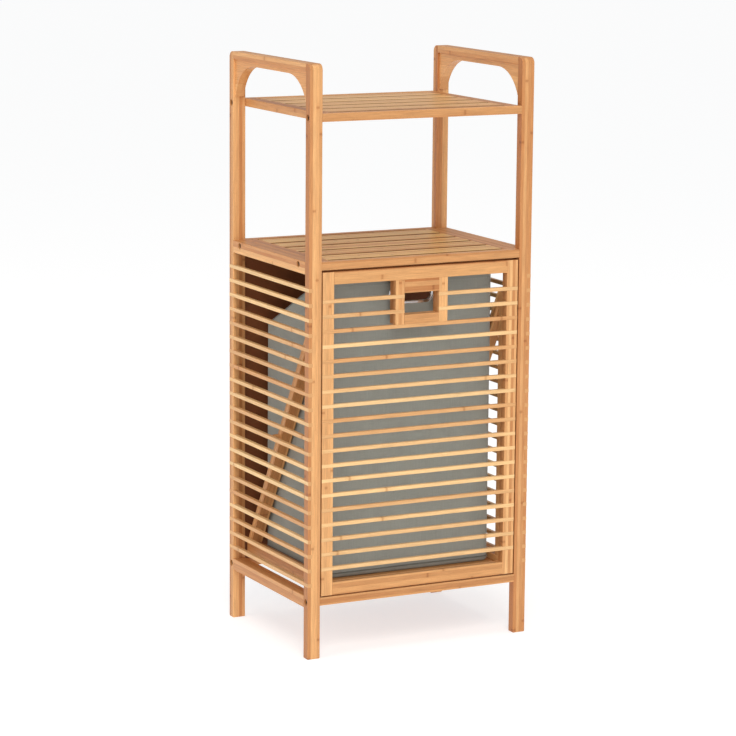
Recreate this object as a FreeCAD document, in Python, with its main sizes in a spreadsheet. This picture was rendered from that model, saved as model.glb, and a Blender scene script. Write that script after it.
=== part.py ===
import FreeCAD, Part, Sketcher
import os
import re

# Bamboo storage rack with a tilt-out laundry hamper.
# X runs across the rack, Y from front to back, Z up. The origin is on the floor,
# in the middle of the rack's footprint. All sizes are in millimetres.

SIZES = [
    # alias, number, what it is
    ("overall_width", 400, "across the posts"),
    ("overall_depth", 300, "front faces to rear faces of the posts"),
    ("overall_height", 950, "floor to the top of the handles"),
    ("ease", 0.8, "rounding of the long edges of every board"),
    ("post_width", 22, "post, across the rack"),
    ("post_depth", 15, "post, front to back, and the rails in line with it"),
    ("post_round", 10, "rounding of the top outer corner of a post"),
    ("foot_chamfer", 1.2, "bevel round the foot of a post"),
    ("cap_height", 12, "top bar of a handle"),
    ("arch_thickness", 15, "arch board under the top bar, across the rack"),
    ("arch_strip", 8, "arch board over the flat of its opening"),
    ("arch_radius", 70, "corners of the arch opening"),
    ("arch_tip", 2, "arch board at its lower ends"),
    ("handle_drop", 77, "top of the handle down to the top shelf"),
    ("mid_shelf_height", 640.5, "floor to the top of the middle shelf"),
    ("shelf_thickness", 13, "shelf frame"),
    ("shelf_end_width", 20, "shelf frame's end rails"),
    ("shelf_slat_thickness", 9, "slats of a shelf"),
    ("shelf_slat_gap", 8, "gap beside each slat of a shelf"),
    ("shelf_slat_count", 5, "slats in a shelf"),
    ("mid_rail_height", 20, "side rail beside the middle shelf"),
    ("side_rail_base", 83.5, "floor to the underside of a lower side rail"),
    ("side_rail_height", 19, "lower side rail"),
    ("bottom_rail_base", 87, "floor to the underside of the front and rear rails"),
    ("bottom_rail_height", 13, "lower front and rear rails"),
    ("slat_height", 6, "inlaid slats of the sides and the door"),
    ("slat_inlay", 7, "thickness of an inlaid slat, and depth of its notch"),
    ("slat_ease", 0.5, "rounding of an inlaid slat's edges"),
    ("side_slat_count", 21, "slats in a side"),
    ("side_slat_low", 19.3, "lower side rail to the middle of the first slat"),
    ("side_slat_high", 24, "middle of the last slat to the rail over it"),
    ("panel_thickness", 3, "back panel"),
    ("panel_inset", 9, "back panel in front of the rear faces of the posts"),
    ("panel_groove", 4, "depth of the back panel in the rear posts"),
    ("bolt_diameter", 5, "shank of a frame bolt"),
    ("bolt_hole_gap", 0.25, "clearance round the shank"),
    ("bolt_reach", 18, "shank inside the rail that it holds"),
    ("bolt_end_gap", 1, "space past the end of the shank"),
    ("bolt_head", 9.4, "diameter of the head"),
    ("bolt_head_height", 5, "height of the head"),
    ("bolt_socket", 2.4, "hexagon socket, centre to corner"),
    ("bolt_socket_depth", 2.5, "depth of the socket"),
    ("counterbore", 10.4, "diameter of the recess for the head"),
    ("counterbore_depth", 8, "depth of the recess for the head"),
    ("mid_bolt_inset", 40, "middle shelf's bolts from the posts' outer faces"),
    ("door_thickness", 15, "door frame"),
    ("door_side_gap", 2, "door to the posts"),
    ("door_bottom_gap", 2.5, "door to the rail under it"),
    ("door_top_gap", 3.5, "door to the shelf over it"),
    ("door_stile_width", 20, "upright sides of the door frame"),
    ("door_rail_height", 20, "top and bottom of the door frame"),
    ("door_slat_count", 17, "slats that cross the whole door"),
    ("short_slat_count", 2, "rows of slats that the grip interrupts"),
    ("door_slat_low", 23.4, "bottom rail to the middle of the first slat"),
    ("door_slat_high", 26.5, "middle of the last slat to the top rail"),
    ("grip_hole_width", 62, "finger hole in the door"),
    ("grip_hole_height", 35, "finger hole in the door"),
    ("grip_stile_width", 16, "upright sides of the grip"),
    ("grip_base_height", 15, "lower block of the grip"),
    ("grip_depth", 20, "grip, front to back"),
    ("pivot_diameter", 6, "pin that the door turns on"),
    ("pivot_clearance", 0.08, "running clearance round the pin, on the radius"),
    ("pivot_rise", 15.5, "lower edge of the door to the pin"),
    ("pivot_post_depth", 12, "pin inside the post"),
    ("pivot_door_depth", 14, "bore in the door stile"),
    ("pivot_end_gap", 0.5, "space past the end of the pin"),
    ("tilt_angle", 32.2, "angle at which the stop dowels meet the posts"),
    ("member_width", 20, "members of the carriage, across the rack"),
    ("carriage_rise", 7.5, "lower edge of the door to the carriage's base"),
    ("carriage_rail_height", 20, "base rails of the carriage"),
    ("carriage_rear_gap", 7, "carriage to the back panel"),
    ("upright_thickness", 11, "uprights behind the door stiles"),
    ("upright_top_gap", 57, "uprights to the shelf over them"),
    ("brace_thickness", 13, "sloping braces of the carriage"),
    ("brace_head_rise", 6, "brace above its upright, before its head is cut level"),
    ("brace_foot_inset", 0.5, "rear end of a base rail to the brace"),
    ("floor_slat_count", 5, "slats under the bag"),
    ("floor_slat_width", 30, "slats under the bag"),
    ("floor_slat_thickness", 8, "slats under the bag"),
    ("floor_slat_inset", 10, "first slat from the door, last from the rear end"),
    ("dowel_diameter", 8, "stop dowel"),
    ("dowel_depth", 10, "stop dowel inside the brace"),
    ("dowel_reach", 9, "stop dowel past the post's inner face"),
    ("strip_depth", 10, "strip that the closed door rests on, front to back"),
    ("strip_height", 8, "strip under the shelf"),
    ("strip_gap", 0.3, "closed door to the strip"),
    ("bag_width", 300, "laundry bag"),
    ("bag_front_inset", 22, "back of the door to the bag"),
    ("bag_depth", 226, "laundry bag, front to back"),
    ("bag_top_gap", 12.5, "front of the bag's mouth to the shelf over it"),
    ("bag_mouth_drop", 115, "front of the mouth to its rear"),
    ("bag_wall", 2.5, "stiffened cloth"),
    ("bag_corner", 4, "rounding of the bag's outer corners"),
    ("ring_width", 84, "oval grip ring in the bag"),
    ("ring_height", 33, "oval grip ring in the bag"),
    ("ring_band", 5, "width of the ring's band"),
    ("ring_lip", 3, "ring over the cloth"),
    ("ring_lip_thickness", 2, "ring in front of and behind the cloth"),
    ("ring_drop", 40.5, "front of the bag's mouth to the ring's centre"),
]

NAMES = {alias for alias, number, note in SIZES}
NUMBER = {alias: number for alias, number, note in SIZES}

# Places that several pieces share, as formulas of the sheet's aliases.
FRONT = "(-overall_depth / 2)"
BACK = "(overall_depth / 2)"
POST_INNER = "(overall_width / 2 - post_width)"
BAY_DEPTH = "(overall_depth - 2 * post_depth)"
BAY_FRONT = "(%s + post_depth)" % FRONT
TOP_SHELF = "(overall_height - handle_drop)"
CABINET_TOP = "(mid_shelf_height - shelf_thickness)"
SIDE_RAIL_TOP = "(side_rail_base + side_rail_height)"
SIDE_SLAT_FIRST = "(%s + side_slat_low)" % SIDE_RAIL_TOP
SIDE_SLAT_LAST = "(mid_shelf_height - mid_rail_height - side_slat_high)"
SIDE_SLAT_PITCH = "((%s - %s) / (side_slat_count - 1))" % (SIDE_SLAT_LAST, SIDE_SLAT_FIRST)
BOTTOM_RAIL_TOP = "(bottom_rail_base + bottom_rail_height)"
PANEL_FRONT = "(%s - panel_inset - panel_thickness)" % BACK

DOOR_HALF = "(%s - door_side_gap)" % POST_INNER
DOOR_BASE = "(%s + door_bottom_gap)" % BOTTOM_RAIL_TOP
DOOR_HEIGHT = "(%s - door_top_gap - %s)" % (CABINET_TOP, DOOR_BASE)
DOOR_BACK = "(%s + door_thickness)" % FRONT
DOOR_RAIL_HALF = "(%s - door_stile_width)" % DOOR_HALF
DOOR_SLAT_FIRST = "(%s + door_rail_height + door_slat_low)" % DOOR_BASE
DOOR_OPEN_TOP = "(%s + %s - door_rail_height)" % (DOOR_BASE, DOOR_HEIGHT)
DOOR_SLAT_PITCH = "((%s - door_slat_high - %s) / (door_slat_count + short_slat_count - 1))" % (
    DOOR_OPEN_TOP,
    DOOR_SLAT_FIRST,
)
GRIP_BASE = "(%s + (door_slat_count - 1) * %s + slat_height / 2)" % (DOOR_SLAT_FIRST, DOOR_SLAT_PITCH)
GRIP_HEIGHT = "(%s - %s)" % (DOOR_OPEN_TOP, GRIP_BASE)

PIVOT_Y = "(%s + door_thickness / 2)" % FRONT
PIVOT_Z = "(%s + pivot_rise)" % DOOR_BASE

CARRIAGE_BASE = "(%s + carriage_rise)" % DOOR_BASE
CARRIAGE_RAIL_TOP = "(%s + carriage_rail_height)" % CARRIAGE_BASE
CARRIAGE_DEPTH = "(%s - carriage_rear_gap - %s)" % (PANEL_FRONT, DOOR_BACK)
UPRIGHT_HEIGHT = "(%s - upright_top_gap - %s)" % (CABINET_TOP, CARRIAGE_RAIL_TOP)
UPRIGHT_BACK = "(%s + upright_thickness)" % DOOR_BACK
BRACE_RUN = "(%s - upright_thickness - brace_foot_inset)" % CARRIAGE_DEPTH
BRACE_RISE = "(%s + brace_head_rise)" % UPRIGHT_HEIGHT
BRACE_SLOPE = "atan(%s / %s)" % (BRACE_RISE, BRACE_RUN)

# The stop dowel lies on the brace's middle line, this far up from the brace's foot,
# where the tilt brings it against the rear face of the front post.
FOOT_Y = "(%s - brace_thickness / 2 / sin(%s))" % (BRACE_RUN, BRACE_SLOPE)
TILT = "(tilt_angle * 1 deg)"
STOP_REACH = "(post_depth - door_thickness / 2 + dowel_diameter / 2)"
STOP_ALONG = (
    "(((%s + %s - %s) * cos(%s) - (%s - %s) * sin(%s) - %s) / cos(%s - %s))"
    % (UPRIGHT_BACK, FOOT_Y, PIVOT_Y, TILT, CARRIAGE_RAIL_TOP, PIVOT_Z, TILT, STOP_REACH, BRACE_SLOPE, TILT)
)
STOP_Y = "(%s - %s * cos(%s))" % (FOOT_Y, STOP_ALONG, BRACE_SLOPE)
STOP_Z = "(%s * sin(%s))" % (STOP_ALONG, BRACE_SLOPE)

BAG_FRONT = "(%s + bag_front_inset)" % DOOR_BACK
BAG_BASE = "(%s + floor_slat_thickness)" % CARRIAGE_BASE
BAG_HEIGHT = "(%s - bag_top_gap - %s)" % (CABINET_TOP, BAG_BASE)

# Frame bolts on each side: distance from the middle of the rack, and height.
POST_BOLT_Y = "(overall_depth / 2 - post_depth / 2)"
MID_BOLT_Y = "(overall_depth / 2 - mid_bolt_inset)"
BOLT_ROWS = [
    (POST_BOLT_Y, "(bottom_rail_base + bottom_rail_height / 2)"),
    (MID_BOLT_Y, "(mid_shelf_height - shelf_thickness / 2)"),
    (POST_BOLT_Y, "(%s - shelf_thickness / 2)" % TOP_SHELF),
]

SIDES = (("left", -1), ("right", 1))
ENDS = (("front", -1), ("rear", 1))
ALONG_X = FreeCAD.Rotation(FreeCAD.Vector(0, 1, 0), 90)
ALONG_Y = FreeCAD.Rotation(FreeCAD.Vector(1, 0, 0), -90)

doc = FreeCAD.newDocument("TiltOutHamper")
pieces = []


def make_sheet():
    """Writes every size into the spreadsheet, with its alias and its note."""
    sheet = doc.addObject("Spreadsheet::Sheet", "Sizes")
    for row, (alias, number, note) in enumerate(SIZES, 1):
        sheet.set("A%d" % row, alias)
        sheet.set("B%d" % row, str(number))
        sheet.setAlias("B%d" % row, alias)
        sheet.set("C%d" % row, note)
    doc.recompute()


def bind(thing, prop, text):
    """Ties a property to a formula, with the sheet's name put before each alias."""

    def cell(word):
        return "Sizes." + word.group() if word.group() in NAMES else word.group()

    thing.setExpression(prop, re.sub(r"[a-z_]+", cell, text))


def place(thing, x, y, z):
    for axis, text in zip("xyz", (x, y, z)):
        bind(thing, "Placement.Base." + axis, text)


def low(sign, near, far):
    """The lower X of a span that runs from near to far off the middle of the rack."""
    return "(-%s)" % far if sign < 0 else near


def outer(sign, depth, width):
    """The lower X, inside a piece of that width, of a cut into its outer face."""
    return "0" if sign < 0 else "(%s - %s)" % (width, depth)


def inner(sign, depth, width):
    """The lower X, inside a piece of that width, of a cut into its inner face."""
    return outer(-sign, depth, width)


def new_piece(label, x, y, z):
    piece = doc.addObject("PartDesign::Body", label)
    piece.Label = label
    place(piece, x, y, z)
    pieces.append(piece)
    return piece


def add_box(piece, name, size, at=("0", "0", "0"), cut=False):
    kind = "Subtractive" if cut else "Additive"
    block = piece.newObject("PartDesign::%sBox" % kind, name)
    for prop, text in zip(("Length", "Width", "Height"), size):
        bind(block, prop, text)
    place(block, *at)
    piece.Tip = block
    return block


def add_rod(piece, name, radius, length, at, turn=ALONG_X, cut=True):
    kind = "Subtractive" if cut else "Additive"
    rod = piece.newObject("PartDesign::%sCylinder" % kind, name)
    bind(rod, "Radius", radius)
    bind(rod, "Height", length)
    rod.Placement = FreeCAD.Placement(FreeCAD.Vector(), turn)
    place(rod, *at)
    piece.Tip = rod
    return rod


def edge_names(shape, direction, test=None):
    """The straight edges of a shape that run along a direction, as sub-element names."""
    names = []
    for number, edge in enumerate(shape.Edges, 1):
        run = edge.Vertexes[-1].Point - edge.Vertexes[0].Point
        if run.Length and abs(run.normalize().dot(direction)) > 0.99:
            if test is None or test(edge.CenterOfMass):
                names.append("Edge%d" % number)
    return names


def at_floor(middle):
    return abs(middle.z) < 1e-6


def round_edges(piece, base, name, edges, radius, kind="Fillet"):
    finish = piece.newObject("PartDesign::" + kind, name)
    finish.Base = (base, edges)
    bind(finish, "Radius" if kind == "Fillet" else "Size", radius)
    piece.Tip = finish
    doc.recompute()
    return finish


AXIS = {"x": FreeCAD.Vector(1, 0, 0), "y": FreeCAD.Vector(0, 1, 0), "z": FreeCAD.Vector(0, 0, 1)}


def board(label, size, at, grain, radius="ease"):
    """A plain board whose four edges along the grain are eased."""
    piece = new_piece(label, *at)
    blank = add_box(piece, "Blank", size)
    doc.recompute()
    round_edges(piece, blank, "Eased", edge_names(blank.Shape, AXIS[grain]), radius)
    return piece


def repeat(piece, features, axis, pitch, count):
    """Repeats features of a piece in a row, by a linear pattern."""
    row = piece.newObject("PartDesign::LinearPattern", "Row")
    row.Originals = features
    role = axis.upper() + "_Axis"
    row.Direction = ([line for line in piece.Origin.OriginFeatures if line.Role == role][0], [""])
    row.Mode = "Spacing"
    bind(row, "Offset", pitch)
    bind(row, "Occurrences", count)
    piece.Tip = row
    return row


def yz_outline(piece, name, corners):
    """A closed sketch of four straight lines in a piece's YZ plane, for its sizes to be added."""
    outline = piece.newObject("Sketcher::SketchObject", name)
    plane = [item for item in piece.Origin.OriginFeatures if item.Role == "YZ_Plane"][0]
    outline.AttachmentSupport = [(plane, "")]
    outline.MapMode = "FlatFace"
    for start, end in zip(corners, corners[1:] + corners[:1]):
        line = Part.LineSegment(FreeCAD.Vector(*start, 0), FreeCAD.Vector(*end, 0))
        outline.addGeometry(line, False)
    for number in range(4):
        join = Sketcher.Constraint("Coincident", number, 2, (number + 1) % 4, 1)
        outline.addConstraint(join)
    return outline


def pad_outline(piece, outline, shape_rules, sizes, length):
    """Holds a sketch's shape, ties its sizes to the spreadsheet and pads it along X."""
    for rule in shape_rules:
        outline.addConstraint(Sketcher.Constraint(*rule))
    for rule, text in sizes:
        number = outline.addConstraint(Sketcher.Constraint(*rule))
        bind(outline, "Constraints[%d]" % number, text)
    doc.recompute()
    pad = piece.newObject("PartDesign::Pad", "Pad")
    pad.Profile = outline
    bind(pad, "Length", length)
    piece.Tip = pad
    return pad


def slat_group(label, size, at, grain, axis, pitch, count, radius="slat_ease"):
    """Equal slats in a row, as separate solids of one piece."""
    piece = new_piece(label, *at)
    blank = add_box(piece, "Slat", size)
    doc.recompute()
    eased = round_edges(piece, blank, "Eased", edge_names(blank.Shape, AXIS[grain]), radius)
    repeat(piece, [blank, eased], axis, pitch, count)
    return piece


def bolt_hole(piece, x, y, z, length):
    add_rod(piece, "BoltHole", "bolt_diameter / 2 + bolt_hole_gap", length, (x, y, z))


def bolt_seat(piece, sign, width, y, z):
    """A through hole along X with a recess for the bolt's head in the outer face."""
    bolt_hole(piece, "0", y, z, width)
    at = (outer(sign, "counterbore_depth", width), y, z)
    add_rod(piece, "Counterbore", "counterbore / 2", "counterbore_depth", at)


def post(side, sign, end, facing):
    """A corner post, notched for the side slats and bored for its bolts."""
    x = low(sign, POST_INNER, "overall_width / 2")
    y = FRONT if facing < 0 else "(%s - post_depth)" % BACK
    piece = new_piece("%s_%s_post" % (end, side), x, y, "0")
    blank = add_box(piece, "Blank", ("post_width", "post_depth", "overall_height"))
    doc.recompute()
    middle = NUMBER["post_depth"] / 2
    half_height = NUMBER["overall_height"] / 2
    top_corner = edge_names(
        blank.Shape, AXIS["x"], lambda at: at.z > half_height and (at.y - middle) * facing > 0
    )
    rounded = round_edges(piece, blank, "TopCorner", top_corner, "post_round")
    foot = edge_names(rounded.Shape, AXIS["x"], at_floor) + edge_names(rounded.Shape, AXIS["y"], at_floor)
    bevelled = round_edges(piece, rounded, "Foot", foot, "foot_chamfer", "Chamfer")
    round_edges(piece, bevelled, "Eased", edge_names(bevelled.Shape, AXIS["z"]), "ease")

    at = (outer(sign, "slat_inlay", "post_width"), "0", "(%s - slat_height / 2)" % SIDE_SLAT_FIRST)
    notch = add_box(piece, "Notch", ("slat_inlay", "post_depth", "slat_height"), at, cut=True)
    repeat(piece, [notch], "z", SIDE_SLAT_PITCH, "side_slat_count")
    for row in (0, -1):
        bolt_seat(piece, sign, "post_width", "post_depth / 2", BOLT_ROWS[row][1])
    if facing < 0:
        at = (inner(sign, "pivot_post_depth", "post_width"), "door_thickness / 2", PIVOT_Z)
        add_rod(piece, "PivotHole", "pivot_diameter / 2", "pivot_post_depth", at)
    else:
        size = ("panel_groove", "panel_thickness", "(%s - %s)" % (CABINET_TOP, BOTTOM_RAIL_TOP))
        y = "(post_depth - panel_inset - panel_thickness)"
        at = (inner(sign, "panel_groove", "post_width"), y, BOTTOM_RAIL_TOP)
        add_box(piece, "PanelGroove", size, at, cut=True)


def handle(side, sign):
    """The top bar between a side's two posts, and the arch board glued under it."""
    x = low(sign, POST_INNER, "overall_width / 2")
    size = ("post_width", BAY_DEPTH, "cap_height")
    board("handle_bar_" + side, size, (x, BAY_FRONT, "(overall_height - cap_height)"), "y")

    # The opening's corners are arcs that start level with its flat top and end at the tips.
    tip_rise = "sqrt(pow(arch_radius; 2) - pow(arch_radius - arch_tip; 2))"
    height = "(arch_strip + arch_radius - %s)" % tip_rise
    arch_inset = "(post_width - arch_thickness) / 2"
    piece = new_piece(
        "handle_arch_" + side,
        low(sign, "(%s + %s)" % (POST_INNER, arch_inset), "(overall_width / 2 - %s)" % arch_inset),
        BAY_FRONT,
        "(overall_height - cap_height - %s)" % height,
    )
    add_box(piece, "Blank", ("arch_thickness", BAY_DEPTH, height))
    size = ("arch_thickness", "(%s - 2 * arch_radius)" % BAY_DEPTH, "(%s - arch_strip)" % height)
    add_box(piece, "Opening", size, ("0", "arch_radius", "0"), cut=True)
    centre_z = "(-%s)" % tip_rise
    for y in ("arch_radius", "(%s - arch_radius)" % BAY_DEPTH):
        add_rod(piece, "Corner", "arch_radius", "arch_thickness", ("0", y, centre_z))


def side_frame(side, sign):
    """What joins a side's two posts: the rails beside the shelf and at the foot, and the slats."""
    x = low(sign, POST_INNER, "overall_width / 2")
    size = ("post_width", BAY_DEPTH, "mid_rail_height")
    at = (x, BAY_FRONT, "(mid_shelf_height - mid_rail_height)")
    rail = board("side_mid_rail_" + side, size, at, "y")
    z = "(mid_rail_height - shelf_thickness / 2)"
    for facing in (-1, 1):
        y = "(%s / 2 + %d * %s)" % (BAY_DEPTH, facing, MID_BOLT_Y)
        bolt_seat(rail, sign, "post_width", y, z)

    size = ("post_width", BAY_DEPTH, "side_rail_height")
    board("side_bottom_rail_" + side, size, (x, BAY_FRONT, "side_rail_base"), "y")

    x = low(sign, "(overall_width / 2 - slat_inlay)", "overall_width / 2")
    size = ("slat_inlay", "overall_depth", "slat_height")
    at = (x, FRONT, "(%s - slat_height / 2)" % SIDE_SLAT_FIRST)
    slat_group("side_slats_" + side, size, at, "y", "z", SIDE_SLAT_PITCH, "side_slat_count")


def cross_rail(label, y, z, height, bolted):
    """A rail across the rack, in line with the posts, with bolt holes in its ends if bolted."""
    size = ("(2 * %s)" % POST_INNER, "post_depth", height)
    rail = board(label, size, ("(-%s)" % POST_INNER, y, z), "x")
    if bolted:
        length = "(bolt_reach + bolt_end_gap)"
        for sign in (-1, 1):
            x = outer(sign, length, size[0])
            bolt_hole(rail, x, "post_depth / 2", "(%s) / 2" % height, length)


def shelf(name, top, bolted_rails):
    """A shelf frame of four rails, filled with slats that lie level with it."""
    z = "(%s - shelf_thickness)" % top
    rear_y = "(%s - post_depth)" % BACK
    for end, y in (("front", FRONT), ("rear", rear_y)):
        cross_rail("%s_%s_rail" % (name, end), y, z, "shelf_thickness", bolted_rails)
    for side, sign in SIDES:
        size = ("shelf_end_width", BAY_DEPTH, "shelf_thickness")
        x = low(sign, "(%s - shelf_end_width)" % POST_INNER, POST_INNER)
        rail = board("%s_end_rail_%s" % (name, side), size, (x, BAY_FRONT, z), "y")
        if not bolted_rails:
            length = "(bolt_reach + bolt_end_gap)"
            for facing in (-1, 1):
                y = "(%s / 2 + %d * %s)" % (BAY_DEPTH, facing, MID_BOLT_Y)
                x = outer(sign, length, "shelf_end_width")
                bolt_hole(rail, x, y, "shelf_thickness / 2", length)
    width = "((%s - (shelf_slat_count + 1) * shelf_slat_gap) / shelf_slat_count)" % BAY_DEPTH
    half = "(%s - shelf_end_width)" % POST_INNER
    size = ("(2 * %s)" % half, width, "shelf_slat_thickness")
    at = ("(-%s)" % half, "(%s + shelf_slat_gap)" % BAY_FRONT, "(%s - shelf_slat_thickness)" % top)
    pitch = "(%s + shelf_slat_gap)" % width
    slat_group(name + "_slats", size, at, "x", "y", pitch, "shelf_slat_count", "ease")


def back_panel():
    half = "(%s + panel_groove)" % POST_INNER
    size = ("(2 * %s)" % half, "panel_thickness", "(%s - %s)" % (CABINET_TOP, BOTTOM_RAIL_TOP))
    piece = new_piece("back_panel", "(-%s)" % half, PANEL_FRONT, BOTTOM_RAIL_TOP)
    add_box(piece, "Sheet", size)


def part_rod(name, radius, length, x, y, z):
    """A plain rod along X, as a primitive of its own."""
    rod = doc.addObject("Part::Cylinder", name)
    bind(rod, "Radius", radius)
    bind(rod, "Height", length)
    rod.Placement = FreeCAD.Placement(FreeCAD.Vector(), ALONG_X)
    place(rod, x, y, z)
    return rod


def frame_bolt(sign, y, z):
    """A bolt along X, its socket head at the bottom of the recess in the outer face."""
    head_far = "(overall_width / 2 - counterbore_depth + bolt_head_height)"
    head_near = "(overall_width / 2 - counterbore_depth)"
    shank_near = "(%s - bolt_reach)" % POST_INNER
    socket_near = "(%s - bolt_socket_depth)" % head_far
    x = low(sign, shank_near, head_near)
    shank = part_rod("Shank", "bolt_diameter / 2", "(%s - %s)" % (head_near, shank_near), x, y, z)
    x = low(sign, head_near, head_far)
    head = part_rod("Head", "bolt_head / 2", "bolt_head_height", x, y, z)
    socket = doc.addObject("Part::Prism", "Socket")
    socket.Polygon = 6
    bind(socket, "Circumradius", "bolt_socket")
    bind(socket, "Height", "bolt_socket_depth")
    socket.Placement = FreeCAD.Placement(FreeCAD.Vector(), ALONG_X)
    place(socket, low(sign, socket_near, head_far), y, z)
    drilled = doc.addObject("Part::Cut", "DrilledHead")
    drilled.Base = head
    drilled.Tool = socket
    bolt = doc.addObject("Part::Fuse", "Bolt")
    bolt.Base = drilled
    bolt.Tool = shank
    return bolt


def bolt_group(side, sign):
    group = doc.addObject("Part::Compound", "frame_bolts_" + side)
    group.Label = "frame_bolts_" + side
    group.Links = [
        frame_bolt(sign, "(%d * %s)" % (facing, y), z) for y, z in BOLT_ROWS for facing in (-1, 1)
    ]
    pieces.append(group)


def plain_rod(label, sign, near, far, radius, y, z):
    """A pin or dowel along X that is a piece of its own."""
    rod = part_rod(label, radius, "(%s - %s)" % (far, near), low(sign, near, far), y, z)
    rod.Label = label
    pieces.append(rod)


def door_frame():
    for side, sign in SIDES:
        x = low(sign, DOOR_RAIL_HALF, DOOR_HALF)
        size = ("door_stile_width", "door_thickness", DOOR_HEIGHT)
        stile = board("door_stile_" + side, size, (x, FRONT, DOOR_BASE), "z")
        z = "(%s - slat_height / 2 - %s)" % (DOOR_SLAT_FIRST, DOOR_BASE)
        size = ("door_stile_width", "slat_inlay", "slat_height")
        notch = add_box(stile, "Notch", size, ("0", "0", z), cut=True)
        repeat(stile, [notch], "z", DOOR_SLAT_PITCH, "door_slat_count + short_slat_count")
        at = (outer(sign, "pivot_door_depth", "door_stile_width"), "door_thickness / 2", "pivot_rise")
        add_rod(stile, "PivotBore", "pivot_diameter / 2 + pivot_clearance", "pivot_door_depth", at)
    size = ("(2 * %s)" % DOOR_RAIL_HALF, "door_thickness", "door_rail_height")
    for name, z in (("bottom", DOOR_BASE), ("top", DOOR_OPEN_TOP)):
        board("door_%s_rail" % name, size, ("(-%s)" % DOOR_RAIL_HALF, FRONT, z), "x")


def door_slats():
    z = "(%s - slat_height / 2)" % DOOR_SLAT_FIRST
    size = ("(2 * %s)" % DOOR_HALF, "slat_inlay", "slat_height")
    at = ("(-%s)" % DOOR_HALF, FRONT, z)
    slat_group("door_slats", size, at, "x", "z", DOOR_SLAT_PITCH, "door_slat_count")
    size = ("(%s - grip_hole_width / 2)" % DOOR_HALF, "slat_inlay", "slat_height")
    z = "(%s + door_slat_count * %s)" % (z, DOOR_SLAT_PITCH)
    for side, sign in SIDES:
        at = (low(sign, "(grip_hole_width / 2)", DOOR_HALF), FRONT, z)
        slat_group("door_short_slats_" + side, size, at, "x", "z", DOOR_SLAT_PITCH, "short_slat_count")


def door_grip():
    """The framed finger hole under the door's top rail."""
    for side, sign in SIDES:
        x = low(sign, "(grip_hole_width / 2)", "(grip_hole_width / 2 + grip_stile_width)")
        size = ("grip_stile_width", "grip_depth", GRIP_HEIGHT)
        stile = board("grip_stile_" + side, size, (x, FRONT, GRIP_BASE), "z")
        size = ("grip_stile_width", "slat_inlay", "slat_height")
        z = "(%s - slat_height)" % DOOR_SLAT_PITCH
        notch = add_box(stile, "Notch", size, ("0", "0", z), cut=True)
        repeat(stile, [notch], "z", DOOR_SLAT_PITCH, "short_slat_count")
    x = "(-grip_hole_width / 2)"
    size = ("grip_hole_width", "grip_depth", "grip_base_height")
    board("grip_lower_block", size, (x, FRONT, GRIP_BASE), "x")
    hole_top = "(grip_base_height + grip_hole_height)"
    size = ("grip_hole_width", "grip_depth", "(%s - %s)" % (GRIP_HEIGHT, hole_top))
    board("grip_upper_block", size, (x, FRONT, "(%s + %s)" % (GRIP_BASE, hole_top)), "x")


def brace(side, sign, x):
    """A sloping brace: level at its foot on the base rail, upright where it meets the upright."""
    piece = new_piece("carriage_brace_" + side, x, UPRIGHT_BACK, CARRIAGE_RAIL_TOP)
    run = NUMBER["overall_depth"] * 0.8
    rise = NUMBER["mid_shelf_height"] * 0.7
    outline = yz_outline(piece, "Outline", [(run * 0.9, 0), (run, 0), (0, rise), (0, rise * 0.9)])
    rules = (
        ("PointOnObject", 0, 1, -1),
        ("PointOnObject", 1, 1, -1),
        ("PointOnObject", 2, 1, -2),
        ("PointOnObject", 3, 1, -2),
        ("Parallel", 1, 3),
    )
    sizes = (
        (("DistanceX", -1, 1, 1, 1, run), BRACE_RUN),
        (("DistanceY", -1, 1, 2, 1, rise), BRACE_RISE),
        (("Distance", 3, 1, 1, NUMBER["brace_thickness"]), "brace_thickness"),
    )
    pad_outline(piece, outline, rules, sizes, "member_width")
    size = ("member_width", "brace_thickness", "brace_head_rise")
    add_box(piece, "LevelHead", size, ("0", "0", UPRIGHT_HEIGHT), cut=True)
    at = (outer(sign, "dowel_depth", "member_width"), STOP_Y, STOP_Z)
    add_rod(piece, "DowelHole", "dowel_diameter / 2", "dowel_depth", at)


def carriage():
    """The frame behind the door that carries the bag and tilts out with it."""
    near = "(%s - member_width)" % DOOR_HALF
    for side, sign in SIDES:
        x = low(sign, near, DOOR_HALF)
        size = ("member_width", "upright_thickness", UPRIGHT_HEIGHT)
        board("carriage_upright_" + side, size, (x, DOOR_BACK, CARRIAGE_RAIL_TOP), "z")
        size = ("member_width", CARRIAGE_DEPTH, "carriage_rail_height")
        board("carriage_rail_" + side, size, (x, DOOR_BACK, CARRIAGE_BASE), "y")
        brace(side, sign, x)
    width = "(2 * %s)" % near
    size = (width, "floor_slat_width", "floor_slat_thickness")
    at = ("(-%s)" % near, "(%s + floor_slat_inset)" % DOOR_BACK, CARRIAGE_BASE)
    pitch = "((%s - 2 * floor_slat_inset - floor_slat_width) / (floor_slat_count - 1))" % CARRIAGE_DEPTH
    slat_group("carriage_floor_slats", size, at, "x", "y", pitch, "floor_slat_count", "ease")


def oval(piece, name, width, height, y, thickness, z="0", cut=False):
    """An oval plate, square to Y and centred on X, laid down as a box and two round ends."""
    straight = "(%s - %s)" % (width, height)
    size = (straight, thickness, height)
    middle = "(-%s / 2)" % straight
    add_box(piece, name, size, (middle, y, "(%s - %s / 2)" % (z, height)), cut)
    for x in (middle, "(%s / 2)" % straight):
        at = (x, y, z)
        add_rod(piece, name + "End", "%s / 2" % height, thickness, at, ALONG_Y, cut)


RING_THROAT_WIDTH = "(ring_width - 2 * ring_lip)"
RING_THROAT_HEIGHT = "(ring_height - 2 * ring_lip)"


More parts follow.
